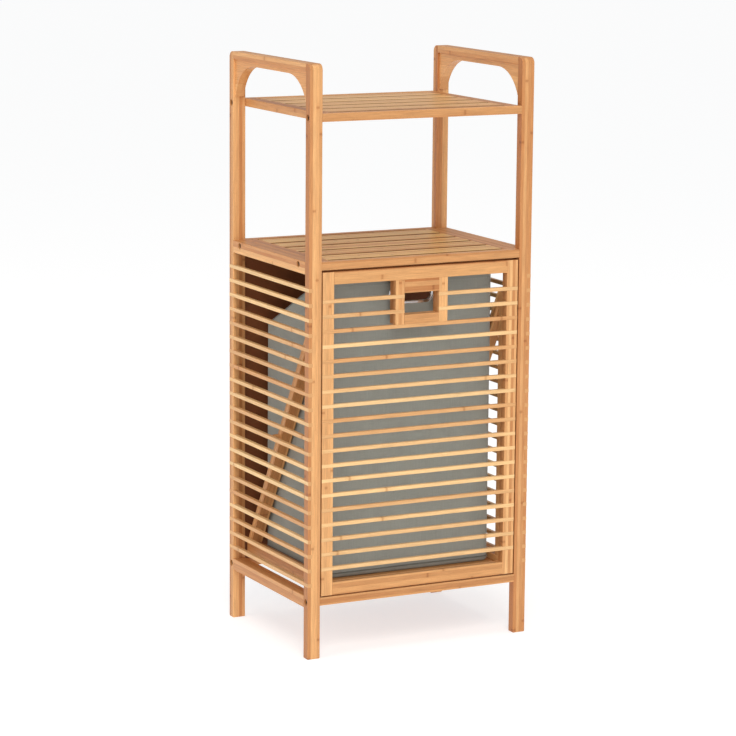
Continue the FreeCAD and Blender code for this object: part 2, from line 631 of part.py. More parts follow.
def laundry_bag():
    """The bag: a cloth box whose open mouth slopes down to the rear."""
    piece = new_piece("laundry_bag", "0", BAG_FRONT, BAG_BASE)
    depth = NUMBER["bag_depth"]
    height = NUMBER["mid_shelf_height"]
    corners = [(0, 0), (depth, 0), (depth, height * 0.6), (0, height * 0.8)]
    profile = yz_outline(piece, "Profile", corners)
    rules = (("Coincident", 0, 1, -1, 1), ("Horizontal", 0), ("Vertical", 1), ("Vertical", 3))
    sizes = (
        (("DistanceX", -1, 1, 1, 1, depth), "bag_depth"),
        (("DistanceY", -1, 1, 2, 1, height * 0.6), BAG_HEIGHT + " - bag_mouth_drop"),
        (("DistanceY", -1, 1, 3, 1, height * 0.8), BAG_HEIGHT),
    )
    pad = pad_outline(piece, profile, rules, sizes, "bag_width")
    pad.SideType = "Symmetric"
    doc.recompute()

    upright = edge_names(pad.Shape, AXIS["z"])
    floor = [
        "Edge%d" % number
        for number, edge in enumerate(pad.Shape.Edges, 1)
        if edge.BoundBox.ZMax < 1e-6
    ]
    round_edges(piece, pad, "Corners", upright + floor, "bag_corner")

    cavity = [size + " - 2 * bag_wall" for size in ("bag_width", "bag_depth")]
    at = ("(bag_wall - bag_width / 2)", "bag_wall", "bag_wall")
    add_box(piece, "Hollow", cavity + [BAG_HEIGHT], at, cut=True)
    z = "(%s - ring_drop)" % BAG_HEIGHT
    oval(piece, "RingHole", RING_THROAT_WIDTH, RING_THROAT_HEIGHT, "0", "bag_wall", z, cut=True)


def grip_ring():
    """An oval metal ring with a lip on each side of the cloth that it is set in."""
    z = "(%s + %s - ring_drop)" % (BAG_BASE, BAG_HEIGHT)
    piece = new_piece("bag_grip_ring", "0", BAG_FRONT, z)
    oval(piece, "FrontLip", "ring_width", "ring_height", "(-ring_lip_thickness)", "ring_lip_thickness")
    oval(piece, "Throat", RING_THROAT_WIDTH, RING_THROAT_HEIGHT, "0", "bag_wall")
    oval(piece, "RearLip", "ring_width", "ring_height", "bag_wall", "ring_lip_thickness")
    thickness = "(bag_wall + 2 * ring_lip_thickness)"
    width = "(ring_width - 2 * ring_band)"
    height = "(ring_height - 2 * ring_band)"
    oval(piece, "Eye", width, height, "(-ring_lip_thickness)", thickness, cut=True)


def build():
    make_sheet()
    for side, sign in SIDES:
        for end, facing in ENDS:
            post(side, sign, end, facing)
        handle(side, sign)
        side_frame(side, sign)
    shelf("top_shelf", TOP_SHELF, True)
    shelf("mid_shelf", "mid_shelf_height", False)
    rear_y = "(%s - post_depth)" % BACK
    for end, y in (("front", FRONT), ("rear", rear_y)):
        cross_rail("bottom_rail_" + end, y, "bottom_rail_base", "bottom_rail_height", True)
    back_panel()
    for side, sign in SIDES:
        bolt_group(side, sign)
        near = "(%s - pivot_door_depth + pivot_end_gap)" % DOOR_HALF
        far = "(%s + pivot_post_depth)" % POST_INNER
        plain_rod("pivot_pin_" + side, sign, near, far, "pivot_diameter / 2", PIVOT_Y, PIVOT_Z)
    size = ("(2 * %s)" % DOOR_HALF, "strip_depth", "strip_height")
    at = ("(-%s)" % DOOR_HALF, "(%s + strip_gap)" % DOOR_BACK, "(%s - strip_height)" % CABINET_TOP)
    board("door_stop_strip", size, at, "x")
    door_frame()
    door_slats()
    door_grip()
    carriage()
    for side, sign in SIDES:
        near = "(%s - dowel_depth)" % DOOR_HALF
        far = "(%s + dowel_reach)" % POST_INNER
        y = "(%s + %s)" % (UPRIGHT_BACK, STOP_Y)
        z = "(%s + %s)" % (CARRIAGE_RAIL_TOP, STOP_Z)
        plain_rod("stop_dowel_" + side, sign, near, far, "dowel_diameter / 2", y, z)
    laundry_bag()
    grip_ring()
    doc.recompute()


def check_and_write():
    """Stops on any failed object, then writes each piece to its own STEP file."""
    for thing in doc.Objects:
        if "Invalid" in thing.State or "Error" in thing.State:
            raise SystemExit("%s (%s) is %s" % (thing.Name, thing.Label, thing.State))
    for piece in pieces:
        if piece.Shape.isNull() or not piece.Shape.isValid() or not piece.Shape.Solids:
            raise SystemExit(piece.Label + " has no valid solid")
    os.makedirs("parts", exist_ok=True)
    for piece in pieces:
        piece.Shape.exportStep(os.path.join("parts", piece.Label + ".step"))
    print("%d pieces written" % len(pieces))


build()
check_and_write()
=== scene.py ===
"""Looks for a bamboo rack with a tilt-out laundry bag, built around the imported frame."""

import math

import bmesh
import bpy
from mathutils import Matrix, Quaternion, Vector, noise


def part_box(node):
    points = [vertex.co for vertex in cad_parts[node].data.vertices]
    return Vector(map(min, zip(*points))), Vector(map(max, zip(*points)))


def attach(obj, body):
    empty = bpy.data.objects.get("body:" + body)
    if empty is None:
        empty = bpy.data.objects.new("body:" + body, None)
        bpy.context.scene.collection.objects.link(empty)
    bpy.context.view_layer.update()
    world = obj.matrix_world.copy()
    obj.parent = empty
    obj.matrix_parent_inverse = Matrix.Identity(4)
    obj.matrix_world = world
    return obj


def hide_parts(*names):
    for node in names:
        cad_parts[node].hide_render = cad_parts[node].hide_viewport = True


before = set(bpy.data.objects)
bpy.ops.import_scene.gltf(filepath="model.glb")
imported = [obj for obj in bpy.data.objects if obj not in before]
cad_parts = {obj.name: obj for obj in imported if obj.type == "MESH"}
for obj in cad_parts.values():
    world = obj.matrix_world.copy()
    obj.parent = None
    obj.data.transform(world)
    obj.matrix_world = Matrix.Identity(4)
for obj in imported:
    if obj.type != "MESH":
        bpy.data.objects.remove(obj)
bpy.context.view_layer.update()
MM = 0.001

# Camera: where it looks, from which side and how far, in metres and degrees.
LOOK_AT = Vector((-0.0184, 0.0, 0.4358))
AZIMUTH = -27.21
ELEVATION = 10.38
ROLL = 0.48
DISTANCE = 4.825
LENS = 143.6

FLOOR_HALF = 30.0

# The bag's cloth and the ring in it, in metres.
CLOTH = 1.6 * MM
BAG_CORNER = 9 * MM
BAG_FOOT = 7 * MM
HEM_HEIGHT = 22 * MM
SEAM_HEIGHT = 9 * MM
RING_BAND = 6.4 * MM

RING_STEPS = 36

# The inlaid slats and the gaps of the shelves, in millimetres.
SLAT_HEIGHT = 6.0
SHELF_GAP = 8.0
SHELF_SLATS = 5

# The groups of inlaid slats: the direction of their grain, and how many rows there are.
INLAID_SLATS = {
    "side_slats_left": ("y", 21),
    "side_slats_right": ("y", 21),
    "door_slats": ("x", 17),
    "door_short_slats_left": ("x", 2),
    "door_short_slats_right": ("x", 2),
}

# Boards are laminated from strips about this wide, in layers this thick, in millimetres.
STRIP = 5.5
LAYER = 7.5
ARCH_STRIP = 21.0
BRACE_STRIP, BRACE_LAYER = 20.0, 5.0


# ---------------------------------------------------------------- shader nodes


class Tree:
    """Short calls that add and join shader nodes in one node tree."""

    def __init__(self, tree):
        self.tree = tree

    def feed(self, socket, value):
        if isinstance(value, bpy.types.NodeSocket):
            self.tree.links.new(value, socket)
        else:
            socket.default_value = value

    def add(self, kind, inputs=(), **settings):
        node = self.tree.nodes.new(kind)
        for name, value in settings.items():
            setattr(node, name, value)
        for name, value in dict(inputs).items():
            self.feed(node.inputs[name], value)
        return node

    def math(self, operation, first, second=0.0, third=0.0):
        node = self.tree.nodes.new("ShaderNodeMath")
        node.operation = operation
        for socket, value in zip(node.inputs, (first, second, third)):
            self.feed(socket, value)
        return node.outputs[0]

    def choose(self, switch, when_0, when_1):
        """One of two values, by a switch that is 0 or 1."""
        off = self.math("MULTIPLY", when_0, self.math("SUBTRACT", 1.0, switch))
        return self.math("ADD", off, self.math("MULTIPLY", when_1, switch))

    def vector(self, operation, first, second):
        node = self.tree.nodes.new("ShaderNodeVectorMath")
        node.operation = operation
        self.feed(node.inputs[0], first)
        self.feed(node.inputs[1], second)
        return node.outputs["Value" if operation == "DOT_PRODUCT" else "Vector"]

    def ramp(self, value, low, high):
        """Smoothly 0 below low and 1 above high; low may be the larger one."""
        span = self.add("ShaderNodeMapRange", interpolation_type="SMOOTHSTEP")
        self.feed(span.inputs["Value"], value)
        flip = low > high
        span.inputs["From Min"].default_value = min(low, high)
        span.inputs["From Max"].default_value = max(low, high)
        span.inputs["To Min"].default_value = 1.0 if flip else 0.0
        span.inputs["To Max"].default_value = 0.0 if flip else 1.0
        return span.outputs["Result"]

    def mix(self, factor, first, second, blend="MIX"):
        node = self.add("ShaderNodeMix", data_type="RGBA", blend_type=blend)
        for number, value in ((0, factor), (6, first), (7, second)):
            self.feed(node.inputs[number], value)
        return node.outputs[2]

    def noise(self, where, scale, detail=2.0, roughness=0.5):
        made = self.add("ShaderNodeTexNoise", {"Vector": where, "Scale": scale})
        made.inputs["Detail"].default_value = detail
        made.inputs["Roughness"].default_value = roughness
        return made.outputs["Fac"]

    def group(self, tree, **values):
        """Places a node group, and fills its inputs by name."""
        node = self.add("ShaderNodeGroup", node_tree=tree)
        for title, value in values.items():
            self.feed(node.inputs[title.replace("_", " ")], value)
        return node.outputs

    def join(self, x, y, z):
        return self.add("ShaderNodeCombineXYZ", {"X": x, "Y": y, "Z": z}).outputs[0]

    def split(self, where):
        return self.add("ShaderNodeSeparateXYZ", {"Vector": where}).outputs


def new_group(name, inputs, outputs):
    """An empty shader node group with named sockets, and its group input's outputs."""
    group = bpy.data.node_groups.new(name, "ShaderNodeTree")
    for title, kind, value in inputs:
        socket = group.interface.new_socket(name=title, in_out="INPUT", socket_type=kind)
        if value is not None:
            socket.default_value = value
    for title, kind in outputs:
        group.interface.new_socket(name=title, in_out="OUTPUT", socket_type=kind)
    tree = Tree(group)
    return group, tree, tree.add("NodeGroupInput").outputs, tree.add("NodeGroupOutput")


def srgb(red, green, blue):
    """A linear colour from the 0 to 255 values that a screen shows."""

    def linear(level):
        level /= 255
        return level / 12.92 if level <= 0.04045 else ((level + 0.055) / 1.055) ** 2.4

    return (linear(red), linear(green), linear(blue), 1.0)


def bamboo_group():
    """Laminated bamboo. Position is in millimetres with the grain along Z."""
    group, t, given, out = new_group(
        "laminated bamboo",
        [
            ("Position", "NodeSocketVector", None),
            ("End Grain", "NodeSocketFloat", 0.0),
            ("Strip Width", "NodeSocketFloat", 6.0),
            ("Layer Width", "NodeSocketFloat", 8.0),
            ("Seed", "NodeSocketFloat", 0.0),
            ("Pale", "NodeSocketColor", None),
            ("Deep", "NodeSocketColor", None),
        ],
        [("Color", "NodeSocketColor"), ("Roughness", "NodeSocketFloat"), ("Height", "NodeSocketFloat")],
    )
    x, y, z = t.split(given["Position"])[:3]
    across = t.math("DIVIDE", x, given["Strip Width"])
    layer = t.math("DIVIDE", y, given["Layer Width"])
    strip = t.join(t.math("FLOOR", across), t.math("FLOOR", layer), given["Seed"])
    dice = t.add("ShaderNodeTexWhiteNoise", {"Vector": strip}, noise_dimensions="3D")
    tone, own = dice.outputs["Value"], t.split(dice.outputs["Color"])

    shift = t.math("MULTIPLY", own[0], 400.0)
    shifted = t.math("ADD", z, shift)
    fibre_at = t.join(x, y, t.math("MULTIPLY", shifted, 0.018))
    fibre = t.noise(fibre_at, 1.5, 4.0, 0.65)
    broad_x, broad_y = t.math("MULTIPLY", x, 0.12), t.math("MULTIPLY", y, 0.12)
    drift_at = t.join(broad_x, broad_y, t.math("MULTIPLY", shifted, 0.01))
    drift = t.noise(drift_at, 1.0, 2.0)
    fleck_at = t.join(x, y, t.math("MULTIPLY", shifted, 0.11))
    fleck = t.ramp(t.noise(fleck_at, 2.6, 2.0), 0.60, 0.72)

    # A culm's joint shows on a strip as a short dark line with a paler cloud round it.
    along = t.math("ADD", t.math("DIVIDE", z, 270.0), t.math("MULTIPLY", own[1], 9.0))
    joint_number = t.join(t.math("FLOOR", along), own[2], tone)
    joint_dice = t.add("ShaderNodeTexWhiteNoise", {"Vector": joint_number}, noise_dimensions="3D")
    from_joint = t.math("ABSOLUTE", t.math("SUBTRACT", t.math("FRACT", along), 0.5))
    wobble = t.math("MULTIPLY", t.noise(t.join(x, y, 0.0), 0.5), 0.012)
    from_joint = t.math("ADD", from_joint, wobble)
    shown = t.math("GREATER_THAN", joint_dice.outputs["Value"], 0.45)
    joint = t.math("MULTIPLY", t.ramp(from_joint, 0.020, 0.005), shown)
    cloud = t.math("MULTIPLY", t.ramp(from_joint, 0.060, 0.015), shown)

    edge = t.math("ABSOLUTE", t.math("SUBTRACT", t.math("FRACT", across), 0.5))
    glue = t.ramp(edge, 0.455, 0.495)

    blend = t.math("MULTIPLY_ADD", tone, 0.62, t.math("MULTIPLY", drift, 0.42))
    colour = t.mix(blend, given["Deep"], given["Pale"])
    streak = t.math("MULTIPLY_ADD", t.ramp(fibre, 0.32, 0.66), 0.34, 0.78)
    colour = t.mix(1.0, colour, t.join(streak, streak, streak), "MULTIPLY")
    warm = t.mix(t.math("MULTIPLY", own[2], 0.30), colour, (1.0, 0.80, 0.62, 1.0), "MULTIPLY")
    colour = t.mix(1.0, colour, warm, "DARKEN")
    colour = t.mix(t.math("MULTIPLY", fleck, 0.45), colour, (0.50, 0.33, 0.20, 1.0), "MULTIPLY")
    colour = t.mix(t.math("MULTIPLY", cloud, 0.16), colour, (0.80, 0.60, 0.36, 1.0), "MULTIPLY")
    colour = t.mix(t.math("MULTIPLY", joint, 0.50), colour, (0.42, 0.22, 0.10, 1.0), "MULTIPLY")
    colour = t.mix(t.math("MULTIPLY", glue, 0.34), colour, (0.55, 0.36, 0.20, 1.0), "MULTIPLY")

    pores = t.ramp(t.noise(given["Position"], 3.2, 1.0), 0.52, 0.64)
    end_colour = t.mix(t.math("MULTIPLY", pores, 0.6), given["Deep"], srgb(120, 68, 34))
    end_colour = t.mix(0.25, end_colour, given["Pale"])
    colour = t.mix(given["End Grain"], colour, end_colour)

    rough = t.math("MULTIPLY_ADD", fibre, 0.16, 0.34)
    rough = t.math("MULTIPLY_ADD", given["End Grain"], 0.2, rough)
    height = t.math("MULTIPLY_ADD", fibre, 0.45, t.math("MULTIPLY", glue, -0.35))
    height = t.math("MULTIPLY_ADD", fleck, -0.25, height)
    height = t.math("MULTIPLY_ADD", joint, 0.4, height)
    t.feed(out.inputs["Color"], colour)
    t.feed(out.inputs["Roughness"], rough)
    t.feed(out.inputs["Height"], height)
    return group


def weave_group():
    """Plain weave. Position is in millimetres; Thread is the width of a thread."""
    group, t, given, out = new_group(
        "plain weave",
        [
            ("Position", "NodeSocketVector", None),
            ("Across", "NodeSocketVector", None),
            ("Thread", "NodeSocketFloat", 0.6),
            ("Pale", "NodeSocketColor", None),
            ("Deep", "NodeSocketColor", None),
        ],
        [("Color", "NodeSocketColor"), ("Roughness", "NodeSocketFloat"), ("Height", "NodeSocketFloat")],
    )
    x, y, z = t.split(given["Position"])[:3]
    facing_x = t.math("ABSOLUTE", t.split(given["Across"])[0])
    facing_z = t.math("ABSOLUTE", t.split(given["Across"])[2])
    on_side = t.math("GREATER_THAN", facing_x, 0.6)
    on_floor = t.math("GREATER_THAN", facing_z, 0.6)
    weft = t.choose(on_side, x, y)
    warp = t.choose(on_floor, z, y)
    turns = t.math("DIVIDE", math.pi, given["Thread"])
    a = t.math("SINE", t.math("MULTIPLY", weft, turns))
    b = t.math("SINE", t.math("MULTIPLY", warp, turns))
    over = t.math("MULTIPLY", a, b)
    height = t.math("MULTIPLY_ADD", t.math("ABSOLUTE", over), 0.5, t.math("MULTIPLY", over, 0.35))
    weft_slub = t.noise(t.join(t.math("MULTIPLY", weft, 0.02), warp, 0.0), 1.6, 3.0, 0.6)
    warp_slub = t.noise(t.join(weft, t.math("MULTIPLY", warp, 0.02), 7.0), 1.6, 3.0, 0.6)
    slub = t.math("MULTIPLY", t.math("ADD", weft_slub, warp_slub), 0.5)
    mottle = t.noise(given["Position"], 0.02, 3.0, 0.55)
    shade = t.math("MULTIPLY_ADD", slub, 0.9, t.math("MULTIPLY", mottle, 0.35))
    # Painted shade: the raised crossings of the threads are painted paler and the dips between them darker;
    # the slubs and mottle are the yarn's own tone.
    shade = t.math("MULTIPLY_ADD", height, 0.25, t.math("SUBTRACT", shade, 0.22))
    t.feed(out.inputs["Color"], t.mix(shade, given["Deep"], given["Pale"]))
    t.feed(out.inputs["Roughness"], t.math("MULTIPLY_ADD", slub, 0.15, 0.78))
    t.feed(out.inputs["Height"], t.math("MULTIPLY_ADD", slub, 0.5, height))
    return group


def dust_group():
    """Fine smudges and scratches that break up a gloss."""
    group, t, given, out = new_group(
        "handling marks",
        [
            ("Position", "NodeSocketVector", None),
            ("Base", "NodeSocketFloat", 0.2),
            ("Amount", "NodeSocketFloat", 0.1),
        ],
        [("Roughness", "NodeSocketFloat"), ("Height", "NodeSocketFloat")],
    )
    smudge = t.noise(given["Position"], 0.08, 4.0, 0.6)
    fine = t.noise(given["Position"], 1.4, 3.0, 0.7)
    level = t.math("MULTIPLY_ADD", fine, 0.4, t.math("MULTIPLY", smudge, 0.6))
    t.feed(out.inputs["Roughness"], t.math("MULTIPLY_ADD", level, given["Amount"], given["Base"]))
    t.feed(out.inputs["Height"], fine)
    return group


BAMBOO = bamboo_group()
WEAVE = weave_group()
MARKS = dust_group()


def new_material(name, **sockets):
    """A material with one Principled shader, whose constants are set on its own sockets."""
    material = bpy.data.materials.new(name)
    material.use_nodes = True
    t = Tree(material.node_tree)
    shader = material.node_tree.nodes["Principled BSDF"]
    for title, value in sockets.items():
        shader.inputs[title.replace("_", " ")].default_value = value
    coordinates = t.add("ShaderNodeTexCoord")
    position = t.vector("MULTIPLY", coordinates.outputs["Object"], (1000.0, 1000.0, 1000.0))
    return material, t, shader, position, coordinates.outputs["Normal"]


def add_bump(t, shader, height, distance, strength):
    bump = t.add("ShaderNodeBump", {"Height": height, "Strength": strength, "Distance": distance})
    t.feed(shader.inputs["Normal"], bump.outputs["Normal"])


def finish_surface(t, shader, colour, made, depth, strength):
    """Feeds a shader's colour, roughness and relief."""
    t.feed(shader.inputs["Base Color"], colour)
    t.feed(shader.inputs["Roughness"], made["Roughness"])
    add_bump(t, shader, made["Height"], depth, strength)


# How deep the relief of a finish is, in metres.
BAMBOO_RELIEF = 0.12 * MM
WEAVE_RELIEF = 0.15 * MM
METAL_RELIEF = 0.02 * MM

# Pale and deep tones of each cut of bamboo. The mid shelf's tones are the shelf bamboo made paler and
# warmer: painted light, standing in for the warm bounce light under the top shelf.
HONEY_PALE, HONEY_DEEP = srgb(240, 190, 130), srgb(176, 108, 56)
SLAT_PALE, SLAT_DEEP = srgb(246, 212, 156), srgb(196, 132, 76)
SHELF_PALE, SHELF_DEEP = srgb(248, 206, 142), srgb(166, 98, 46)
MID_SHELF_PAINTED_LIGHT_PALE, MID_SHELF_PAINTED_LIGHT_DEEP = srgb(255, 222, 148), srgb(190, 112, 50)
ARCH_PALE, ARCH_DEEP = srgb(236, 186, 128), srgb(206, 144, 88)
# Brown for the painted shade on the shelf slats' sides, which show down the gaps between them.
GAP_SHADE_BROWN = srgb(112, 62, 28)
WOOD_FINISH = {"Coat_Weight": 0.06, "Coat_Roughness": 0.3, "Specular_IOR_Level": 0.3}


def bamboo(
    name, grain, seed, strip, layer, pale=HONEY_PALE, deep=HONEY_DEEP, start=0.0, lean=0.0, painted_gap_shade=0.0
):
    """Bamboo with its grain along an axis. start shifts the strips' edges to suit the board.

    lean turns the grain about X. The last argument sets how far the faces that look along Y are browned: the
    narrow sides of the shelf slats, seen down the gaps between them. This is painted shade that darkens the
    gaps.
    """
    material, t, shader, position, normal = new_material(name, **WOOD_FINISH)
    if lean:
        turned = t.add("ShaderNodeVectorRotate", {"Vector": position, "Angle": lean}, rotation_type="X_AXIS")
        position = turned.outputs[0]
        facing = t.add("ShaderNodeVectorRotate", {"Vector": normal, "Angle": lean}, rotation_type="X_AXIS")
        normal = facing.outputs[0]
    order = {"x": (1, 2, 0), "y": (2, 0, 1), "z": (0, 1, 2)}[grain]
    parts, faces = t.split(position), t.split(normal)
    across = t.math("SUBTRACT", parts[order[0]], start)
    place = t.join(across, parts[order[1]], parts[order[2]])
    end_grain = t.ramp(t.math("ABSOLUTE", faces[order[2]]), 0.80, 0.95)
    made = t.group(
        BAMBOO,
        Position=place,
        End_Grain=end_grain,
        Strip_Width=strip,
        Layer_Width=layer,
        Seed=seed,
        Pale=pale,
        Deep=deep,
    )
    colour = made["Color"]
    # Painted shade: the faces that look along Y are browned so that the gaps between the shelf slats read
    # dark.
    if painted_gap_shade:
        edge = t.math("MULTIPLY", t.ramp(t.math("ABSOLUTE", faces[1]), 0.15, 0.6), painted_gap_shade)
        colour = t.mix(edge, colour, GAP_SHADE_BROWN, "MULTIPLY")
    finish_surface(t, shader, colour, made, BAMBOO_RELIEF, 0.8)
    return material


def cloth(name, pale, deep, thread=0.7):
    material, t, shader, position, normal = new_material(
        name, Sheen_Weight=0.25, Sheen_Roughness=0.5, Specular_IOR_Level=0.25
    )
    made = t.group(WEAVE, Position=position, Across=normal, Thread=thread, Pale=pale, Deep=deep)
    finish_surface(t, shader, made["Color"], made, WEAVE_RELIEF, 0.7)
    return material


def metal(name, colour, base, amount, metallic=1.0):
    material, t, shader, position, normal = new_material(name, Metallic=metallic)
    made = t.group(MARKS, Position=position, Base=base, Amount=amount)
    tint = t.mix(t.math("MULTIPLY", made["Height"], 0.25), colour, srgb(60, 58, 56))
    finish_surface(t, shader, tint, made, METAL_RELIEF, 0.4)
    return material


def hardboard(name):
    """The back panel: a dark brown sheet with a fine pressed texture."""
    material, t, shader, position, normal = new_material(name, Specular_IOR_Level=0.3)
    x, y, z = t.split(position)[:3]
    fine = t.noise(t.join(x, y, t.math("MULTIPLY", z, 0.25)), 1.8, 4.0, 0.7)
    broad = t.noise(position, 0.02, 3.0)
    mixed = t.math("MULTIPLY_ADD", fine, 0.6, t.math("MULTIPLY", broad, 0.5))
    t.feed(shader.inputs["Base Color"], t.mix(mixed, srgb(96, 50, 26), srgb(150, 92, 54)))
    t.feed(shader.inputs["Roughness"], t.math("MULTIPLY_ADD", fine, 0.2, 0.55))
    add_bump(t, shader, fine, 0.15 * MM, 0.6)
    return material


# ---------------------------------------------------------------- CAD boards


def dress(node, material):
    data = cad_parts[node].data
    data.materials.clear()
    data.materials.append(material)


def low_mm(node, axis):
    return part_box(node)[0][axis] / MM


def dress_boards():
    """Gives every wooden node its own cut of bamboo, with the grain along the board."""
    brace_low, brace_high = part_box("carriage_brace_left")
    rise = brace_high.z - brace_low.z
    run = brace_high.y - brace_low.y
    lean = math.atan2(run, rise)
    for number, node in enumerate(sorted(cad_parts)):
        if node in KEEPS_OWN_FINISH:
            continue
        name = "bamboo_" + node
        seed = number * 1.37
        if node in INLAID_SLATS:
            grain, count = INLAID_SLATS[node]
            low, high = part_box(node)
            pitch = ((high.z - low.z) / MM - SLAT_HEIGHT) / (count - 1)
            start = low.z / MM - (pitch - SLAT_HEIGHT) / 2
            material = slat_bamboo(name, grain, seed, pitch, start)
        elif "brace" in node:
            material = bamboo(name, "z", seed, BRACE_STRIP, BRACE_LAYER, lean=-lean)
        elif node in ("top_shelf_slats", "mid_shelf_slats"):
            low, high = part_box(node)
            pitch = ((high.y - low.y) / MM + SHELF_GAP) / SHELF_SLATS
            start = low.y / MM - SHELF_GAP / 2
            # The mid shelf takes a paler, warmer copy of the shelf bamboo: painted bounce light.
            pale, deep = (SHELF_PALE, SHELF_DEEP) if "top" in node else (MID_SHELF_PAINTED_LIGHT_PALE, MID_SHELF_PAINTED_LIGHT_DEEP)
            # The shelf slats' sides get painted shade, so that the gaps between them read dark.
            material = bamboo(name, "x", seed, pitch / 7, 9.0, pale, deep, start, painted_gap_shade=0.75)
        elif "arch" in node:
            material = bamboo(name, "y", seed, ARCH_STRIP, LAYER, ARCH_PALE, ARCH_DEEP, low_mm(node, 2))
        else:
            low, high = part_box(node)
            size = [high[i] - low[i] for i in range(3)]
            grain = "xyz"[size.index(max(size))]
            across = {"x": 1, "y": 2, "z": 0}[grain]
            width = size[across] / MM
            count = max(2, round(width / STRIP))
            material = bamboo(name, grain, seed, width / count, LAYER, start=low[across] / MM)
        dress(node, material)


def slat_bamboo(name, grain, seed, pitch, start):
    """Inlaid slats: one strip each, so that every slat has a tone of its own."""
    material, t, shader, position, normal = new_material(name, **WOOD_FINISH)
    parts, faces = t.split(position), t.split(normal)
    along = {"x": 0, "y": 1}[grain]
    other = 1 - along
    height = t.math("SUBTRACT", parts[2], start)
    place = t.join(height, parts[other], parts[along])
    end_grain = t.ramp(t.math("ABSOLUTE", faces[along]), 0.80, 0.95)
    made = t.group(
        BAMBOO,
        Position=place,
        End_Grain=end_grain,
        Strip_Width=pitch,
        Layer_Width=50.0,
        Seed=seed,
        Pale=SLAT_PALE,
        Deep=SLAT_DEEP,
    )
    finish_surface(t, shader, made["Color"], made, BAMBOO_RELIEF, 0.8)
    return material


KEEPS_OWN_FINISH = {
    "back_panel",
    "laundry_bag",
    "bag_grip_ring",
    "frame_bolts_left",
    "frame_bolts_right",
    "pivot_pin_left",
    "pivot_pin_right",
}


# ---------------------------------------------------------------- meshes


def to_object(name, mesh, material, body):
    """Links a mesh as a smooth-shaded piece that rides on a body."""
    piece = bpy.data.objects.new(name, mesh)
    bpy.context.scene.collection.objects.link(piece)
    mesh.materials.append(material)
    mesh.shade_smooth()
    mesh.set_sharp_from_angle(angle=math.radians(40))
    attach(piece, body)
    return piece


def from_bmesh(name, shape):
    bmesh.ops.recalc_face_normals(shape, faces=shape.faces)
    mesh = bpy.data.meshes.new(name)
    shape.to_mesh(mesh)
    shape.free()
    return mesh


def rounded_rectangle(half_x, y_low, y_high, corner, side_steps, corner_steps):
    """Points and outward directions round a rectangle with round corners, from above."""
    centres = (
        (half_x - corner, y_high - corner, 0),
        (corner - half_x, y_high - corner, 90),
        (corner - half_x, y_low + corner, 180),
        (half_x - corner, y_low + corner, 270),
    )
    ring = []
    for number, (x, y, turn) in enumerate(centres):
        for step in range(corner_steps + 1):
            angle = math.radians(turn + 90 * step / corner_steps)
            way = Vector((math.cos(angle), math.sin(angle), 0))
            ring.append((Vector((x, y, 0)) + way * corner, way))
        next_x, next_y, next_turn = centres[(number + 1) % 4]
        way = Vector((math.cos(math.radians(next_turn)), math.sin(math.radians(next_turn)), 0))
        start, end = Vector((x, y, 0)) + way * corner, Vector((next_x, next_y, 0)) + way * corner
        for step in range(1, side_steps):
            ring.append((start.lerp(end, step / side_steps), way))
    return ring


class Bag:
    """The bag's outer surface, as a function of a point on its plan and a height."""

    def __init__(self):
        self.low, self.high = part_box("laundry_bag")
        self.half = self.high.x
        self.front_rim = self.high.z - 1 * MM
        self.rear_rim = self.front_rim - 0.115
        self.plan = rounded_rectangle(self.half, self.low.y, self.high.y, BAG_CORNER, 26, 5)

    def rim(self, y):
        share = (y - self.low.y) / (self.high.y - self.low.y)
        return self.front_rim + (self.rear_rim - self.front_rim) * share

    def swell(self, spot, way, z):
        """How far the cloth stands off its flat panel: a slack belly and a few soft folds."""
        across = spot.y if abs(way.x) > 0.7 else spot.x
        lowest, highest = (self.low.y, self.high.y) if abs(way.x) > 0.7 else (-self.half, self.half)
        share = (across - lowest) / (highest - lowest)
        level = (z - self.low.z) / (self.rim(spot.y) - self.low.z)
        middle = max(0.0, math.sin(math.pi * min(1, max(0, share))))
        belly = middle * math.sin(math.pi * min(1, max(0, level)) ** 0.8)
        fold = noise.noise(Vector((spot.x * 9, spot.y * 9, z * 4))) * middle
        ripple = noise.noise(Vector((spot.x * 30 + 5, spot.y * 30, z * 14))) * middle
        return (2.6 * belly + 1.5 * fold + 0.45 * ripple) * MM

    def point(self, spot, way, z, lift=0.0):
        foot = min(1.0, (z - self.low.z) / BAG_FOOT)
        tuck = BAG_FOOT * (1 - math.sqrt(max(0.0, 1 - (1 - foot) ** 2)))
        out = self.swell(spot, way, z) * foot - tuck + lift
        return Vector((spot.x, spot.y, z)) + way * out


def bag_shell(bag, material):
    """The sewn cloth: walls lofted from the floor to the sloping mouth, and the floor."""
    shape = bmesh.new()
    heights = [0.0, 0.0008, 0.002, 0.004, 0.007, 0.012, 0.02] + [0.035 + 0.965 * i / 34 for i in range(35)]
    rows = []
    for share in heights:
        row = []
        for spot, way in bag.plan:
            z = bag.low.z + (bag.rim(spot.y) - bag.low.z) * share
            row.append(shape.verts.new(bag.point(spot, way, z)))
        rows.append(row)
    for below, above in zip(rows, rows[1:]):
        for i in range(len(below)):
            j = (i + 1) % len(below)
            shape.faces.new((below[i], below[j], above[j], above[i]))
    floor = shape.faces.new(rows[0][::-1])
    bmesh.ops.inset_individual(shape, faces=[floor], thickness=20 * MM)
    mesh = from_bmesh("bag_shell", shape)
    piece = to_object("bag_shell", mesh, material, "carriage")
    wall = piece.modifiers.new("wall", "SOLIDIFY")
    wall.thickness = CLOTH
    wall.offset = -1
    cut_ring_hole(piece)
    apply_modifiers(piece)
    piece.data.shade_smooth()
    piece.data.set_sharp_from_angle(angle=math.radians(40))
    return piece


